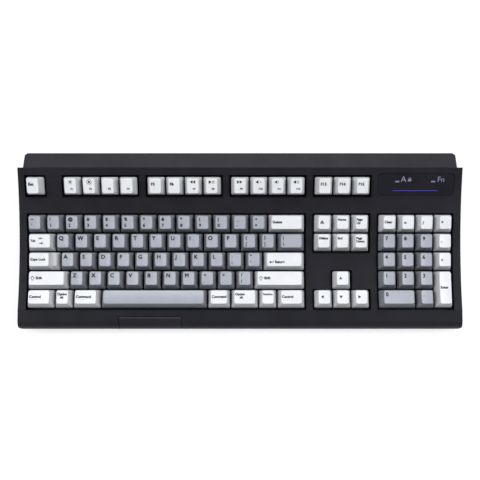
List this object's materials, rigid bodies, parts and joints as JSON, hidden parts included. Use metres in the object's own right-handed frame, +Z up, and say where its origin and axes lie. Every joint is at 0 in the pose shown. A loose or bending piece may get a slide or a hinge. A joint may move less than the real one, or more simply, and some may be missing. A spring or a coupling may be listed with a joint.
{
  "type": "mechanical keyboard",
  "caption": "Full-size mechanical keyboard with a curved black case, white and grey sprung keycaps, an indicator panel and folding rear feet.",
  "frame": {"origin": "on the resting surface, under the middle of the case", "axes": "+X to the typist's right along the rows, +Y from the typist to the rear edge, +Z up"},
  "size_m": [0.46, 0.182, 0.0462],
  "materials": {
    "case_plastic": "fine-textured moulded black plastic",
    "inner_plastic": "plain moulded black plastic",
    "panel_plastic": "smooth satin black overlay",
    "white_keycap": "lightly textured white plastic",
    "grey_keycap": "lightly textured grey plastic",
    "circuit_board": "green solder resist",
    "membrane_film": "translucent film with printed tracks",
    "bare_steel": "zinc-plated steel",
    "soft_rubber": "matt black rubber"
  },
  "bodies": {
    "case": {"top_cover": "case_plastic", "bottom_cover": "case_plastic", "front_blank_plate": "case_plastic", "indicator_panel": "panel_plastic", "indicator_board": "circuit_board", "barrel_plate": "inner_plastic", "switch_membrane": "membrane_film", "steel_backplate": "bare_steel", "controller_board": "circuit_board", "cable_gland": "soft_rubber", "pad_front_left": "soft_rubber", "pad_front_right": "soft_rubber", "pad_rear_left": "soft_rubber", "pad_rear_right": "soft_rubber", "screw_left": "bare_steel", "screw_middle": "bare_steel", "screw_right": "bare_steel"},
    "foot_left": {"foot_left": "case_plastic"},
    "foot_right": {"foot_right": "case_plastic"},
    "space_bar_wire": {"space_bar_wire": "bare_steel"},
    "key_escape": {"key_escape": "white_keycap"},
    "keys_f1_to_f4": {"keys_f1_to_f4": "white_keycap"},
    "keys_f5_to_f8": {"keys_f5_to_f8": "white_keycap"},
    "keys_f9_to_f12": {"keys_f9_to_f12": "white_keycap"},
    "keys_f13_to_f15": {"keys_f13_to_f15": "white_keycap"},
    "keys_number_left": {"keys_number_left": "grey_keycap"},
    "keys_number_right": {"keys_number_right": "grey_keycap"},
    "key_delete": {"key_delete": "white_keycap"},
    "keys_nav_upper": {"keys_nav_upper": "white_keycap"},
    "keys_pad_top": {"keys_pad_top": "white_keycap"},
    "key_tab": {"key_tab": "white_keycap"},
    "keys_upper_left": {"keys_upper_left": "grey_keycap"},
    "keys_upper_right": {"keys_upper_right": "grey_keycap"},
    "keys_nav_lower": {"keys_nav_lower": "white_keycap"},
    "keys_pad_789": {"keys_pad_789": "grey_keycap"},
    "key_caps_lock": {"key_caps_lock": "white_keycap"},
    "keys_home_left": {"keys_home_left": "grey_keycap"},
    "keys_home_right": {"keys_home_right": "grey_keycap"},
    "key_return": {"key_return": "white_keycap"},
    "keys_pad_456": {"keys_pad_456": "grey_keycap"},
    "key_shift_left": {"key_shift_left": "white_keycap"},
    "keys_lower_left": {"keys_lower_left": "grey_keycap"},
    "keys_lower_right": {"keys_lower_right": "grey_keycap"},
    "key_shift_right": {"key_shift_right": "white_keycap"},
    "key_arrow_up": {"key_arrow_up": "white_keycap"},
    "keys_pad_123": {"keys_pad_123": "grey_keycap"},
    "key_control_left": {"key_control_left": "white_keycap"},
    "key_option_left": {"key_option_left": "white_keycap"},
    "key_command_left": {"key_command_left": "white_keycap"},
    "key_space": {"key_space": "grey_keycap"},
    "key_command_right": {"key_command_right": "white_keycap"},
    "key_option_right": {"key_option_right": "white_keycap"},
    "key_function": {"key_function": "white_keycap"},
    "key_control_right": {"key_control_right": "white_keycap"},
    "key_arrow_left": {"key_arrow_left": "white_keycap"},
    "key_arrow_down": {"key_arrow_down": "white_keycap"},
    "key_arrow_right": {"key_arrow_right": "white_keycap"},
    "key_pad_zero": {"key_pad_zero": "grey_keycap"},
    "key_pad_point": {"key_pad_point": "grey_keycap"},
    "key_pad_enter": {"key_pad_enter": "white_keycap"}
  },
  "joints": [
    {"name": "foot_left_fold", "type": "hinge", "parent": "case", "child": "foot_left", "pos_m": [-0.165, 0.0516, 0.005], "axis": [-1, 0, 0], "range_deg": [0, 95]},
    {"name": "foot_right_fold", "type": "hinge", "parent": "case", "child": "foot_right", "pos_m": [0.165, 0.0516, 0.005], "axis": [-1, 0, 0], "range_deg": [0, 95]},
    {"name": "key_space_press", "type": "slide", "parent": "case", "child": "key_space", "axis": [0, -0.0523, -0.9986], "range_m": [0, 0.0038], "stiffness_N_per_m": 170, "springref_m": -0.002},
    {"name": "space_bar_wire_pivot", "type": "hinge", "parent": "case", "child": "space_bar_wire", "pos_m": [-0.08811, -0.05364, 0.01697], "axis": [1, 0, 0], "range_deg": [0, 18.4]},
    {"name": "key_escape_press", "type": "slide", "parent": "case", "child": "key_escape", "axis": [0, 0.289, -0.9573], "range_m": [0, 0.0038], "stiffness_N_per_m": 170, "springref_m": -0.002},
    {"name": "keys_f1_to_f4_press", "type": "slide", "parent": "case", "child": "keys_f1_to_f4", "axis": [0, 0.289, -0.9573], "range_m": [0, 0.0038], "stiffness_N_per_m": 170, "springref_m": -0.002},
    {"name": "keys_f5_to_f8_press", "type": "slide", "parent": "case", "child": "keys_f5_to_f8", "axis": [0, 0.289, -0.9573], "range_m": [0, 0.0038], "stiffness_N_per_m": 170, "springref_m": -0.002},
    {"name": "keys_f9_to_f12_press", "type": "slide", "parent": "case", "child": "keys_f9_to_f12", "axis": [0, 0.289, -0.9573], "range_m": [0, 0.0038], "stiffness_N_per_m": 170, "springref_m": -0.002},
    {"name": "keys_f13_to_f15_press", "type": "slide", "parent": "case", "child": "keys_f13_to_f15", "axis": [0, 0.289, -0.9573], "range_m": [0, 0.0038], "stiffness_N_per_m": 170, "springref_m": -0.002},
    {"name": "keys_number_left_press", "type": "slide", "parent": "case", "child": "keys_number_left", "axis": [0, 0.1771, -0.9842], "range_m": [0, 0.0038], "stiffness_N_per_m": 170, "springref_m": -0.002},
    {"name": "keys_number_right_press", "type": "slide", "parent": "case", "child": "keys_number_right", "axis": [0, 0.1771, -0.9842], "range_m": [0, 0.0038], "stiffness_N_per_m": 170, "springref_m": -0.002},
    {"name": "key_delete_press", "type": "slide", "parent": "case", "child": "key_delete", "axis": [0, 0.1771, -0.9842], "range_m": [0, 0.0038], "stiffness_N_per_m": 170, "springref_m": -0.002},
    {"name": "keys_nav_upper_press", "type": "slide", "parent": "case", "child": "keys_nav_upper", "axis": [0, 0.1771, -0.9842], "range_m": [0, 0.0038], "stiffness_N_per_m": 170, "springref_m": -0.002},
    {"name": "keys_pad_top_press", "type": "slide", "parent": "case", "child": "keys_pad_top", "axis": [0, 0.1771, -0.9842], "range_m": [0, 0.0038], "stiffness_N_per_m": 170, "springref_m": -0.002},
    {"name": "key_tab_press", "type": "slide", "parent": "case", "child": "key_tab", "axis": [0, 0.1201, -0.9928], "range_m": [0, 0.0038], "stiffness_N_per_m": 170, "springref_m": -0.002},
    {"name": "keys_upper_left_press", "type": "slide", "parent": "case", "child": "keys_upper_left", "axis": [0, 0.1201, -0.9928], "range_m": [0, 0.0038], "stiffness_N_per_m": 170, "springref_m": -0.002},
    {"name": "keys_upper_right_press", "type": "slide", "parent": "case", "child": "keys_upper_right", "axis": [0, 0.1201, -0.9928], "range_m": [0, 0.0038], "stiffness_N_per_m": 170, "springref_m": -0.002},
    {"name": "keys_nav_lower_press", "type": "slide", "parent": "case", "child": "keys_nav_lower", "axis": [0, 0.1201, -0.9928], "range_m": [0, 0.0038], "stiffness_N_per_m": 170, "springref_m": -0.002},
    {"name": "keys_pad_789_press", "type": "slide", "parent": "case", "child": "keys_pad_789", "axis": [0, 0.1201, -0.9928], "range_m": [0, 0.0038], "stiffness_N_per_m": 170, "springref_m": -0.002},
    {"name": "key_caps_lock_press", "type": "slide", "parent": "case", "child": "key_caps_lock", "axis": [0, 0.0628, -0.998], "range_m": [0, 0.0038], "stiffness_N_per_m": 170, "springref_m": -0.002},
    {"name": "keys_home_left_press", "type": "slide", "parent": "case", "child": "keys_home_left", "axis": [0, 0.0628, -0.998], "range_m": [0, 0.0038], "stiffness_N_per_m": 170, "springref_m": -0.002},
    {"name": "keys_home_right_press", "type": "slide", "parent": "case", "child": "keys_home_right", "axis": [0, 0.0628, -0.998], "range_m": [0, 0.0038], "stiffness_N_per_m": 170, "springref_m": -0.002},
    {"name": "key_return_press", "type": "slide", "parent": "case", "child": "key_return", "axis": [0, 0.0628, -0.998], "range_m": [0, 0.0038], "stiffness_N_per_m": 170, "springref_m": -0.002},
    {"name": "keys_pad_456_press", "type": "slide", "parent": "case", "child": "keys_pad_456", "axis": [0, 0.0628, -0.998], "range_m": [0, 0.0038], "stiffness_N_per_m": 170, "springref_m": -0.002},
    {"name": "key_shift_left_press", "type": "slide", "parent": "case", "child": "key_shift_left", "axis": [0, 0.0052, -1], "range_m": [0, 0.0038], "stiffness_N_per_m": 170, "springref_m": -0.002},
    {"name": "keys_lower_left_press", "type": "slide", "parent": "case", "child": "keys_lower_left", "axis": [0, 0.0052, -1], "range_m": [0, 0.0038], "stiffness_N_per_m": 170, "springref_m": -0.002},
    {"name": "keys_lower_right_press", "type": "slide", "parent": "case", "child": "keys_lower_right", "axis": [0, 0.0052, -1], "range_m": [0, 0.0038], "stiffness_N_per_m": 170, "springref_m": -0.002},
    {"name": "key_shift_right_press", "type": "slide", "parent": "case", "child": "key_shift_right", "axis": [0, 0.0052, -1], "range_m": [0, 0.0038], "stiffness_N_per_m": 170, "springref_m": -0.002},
    {"name": "key_arrow_up_press", "type": "slide", "parent": "case", "child": "key_arrow_up", "axis": [0, 0.0052, -1], "range_m": [0, 0.0038], "stiffness_N_per_m": 170, "springref_m": -0.002},
    {"name": "keys_pad_123_press", "type": "slide", "parent": "case", "child": "keys_pad_123", "axis": [0, 0.0052, -1], "range_m": [0, 0.0038], "stiffness_N_per_m": 170, "springref_m": -0.002},
    {"name": "key_control_left_press", "type": "slide", "parent": "case", "child": "key_control_left", "axis": [0, -0.0523, -0.9986], "range_m": [0, 0.0038], "stiffness_N_per_m": 170, "springref_m": -0.002},
    {"name": "key_option_left_press", "type": "slide", "parent": "case", "child": "key_option_left", "axis": [0, -0.0523, -0.9986], "range_m": [0, 0.0038], "stiffness_N_per_m": 170, "springref_m": -0.002},
    {"name": "key_command_left_press", "type": "slide", "parent": "case", "child": "key_command_left", "axis": [0, -0.0523, -0.9986], "range_m": [0, 0.0038], "stiffness_N_per_m": 170, "springref_m": -0.002},
    {"name": "key_command_right_press", "type": "slide", "parent": "case", "child": "key_command_right", "axis": [0, -0.0523, -0.9986], "range_m": [0, 0.0038], "stiffness_N_per_m": 170, "springref_m": -0.002},
    {"name": "key_option_right_press", "type": "slide", "parent": "case", "child": "key_option_right", "axis": [0, -0.0523, -0.9986], "range_m": [0, 0.0038], "stiffness_N_per_m": 170, "springref_m": -0.002},
    {"name": "key_function_press", "type": "slide", "parent": "case", "child": "key_function", "axis": [0, -0.0523, -0.9986], "range_m": [0, 0.0038], "stiffness_N_per_m": 170, "springref_m": -0.002},
    {"name": "key_control_right_press", "type": "slide", "parent": "case", "child": "key_control_right", "axis": [0, -0.0523, -0.9986], "range_m": [0, 0.0038], "stiffness_N_per_m": 170, "springref_m": -0.002},
    {"name": "key_arrow_left_press", "type": "slide", "parent": "case", "child": "key_arrow_left", "axis": [0, -0.0523, -0.9986], "range_m": [0, 0.0038], "stiffness_N_per_m": 170, "springref_m": -0.002},
    {"name": "key_arrow_down_press", "type": "slide", "parent": "case", "child": "key_arrow_down", "axis": [0, -0.0523, -0.9986], "range_m": [0, 0.0038], "stiffness_N_per_m": 170, "springref_m": -0.002},
    {"name": "key_arrow_right_press", "type": "slide", "parent": "case", "child": "key_arrow_right", "axis": [0, -0.0523, -0.9986], "range_m": [0, 0.0038], "stiffness_N_per_m": 170, "springref_m": -0.002},
    {"name": "key_pad_zero_press", "type": "slide", "parent": "case", "child": "key_pad_zero", "axis": [0, -0.0523, -0.9986], "range_m": [0, 0.0038], "stiffness_N_per_m": 170, "springref_m": -0.002},
    {"name": "key_pad_point_press", "type": "slide", "parent": "case", "child": "key_pad_point", "axis": [0, -0.0523, -0.9986], "range_m": [0, 0.0038], "stiffness_N_per_m": 170, "springref_m": -0.002},
    {"name": "key_pad_enter_press", "type": "slide", "parent": "case", "child": "key_pad_enter", "axis": [0, -0.0236, -0.9997], "range_m": [0, 0.0038], "stiffness_N_per_m": 170, "springref_m": -0.002}
  ],
  "couplings": [
    {"joint": "space_bar_wire_pivot", "follows": "key_space_press", "rad_per_m": 83}
  ]
}
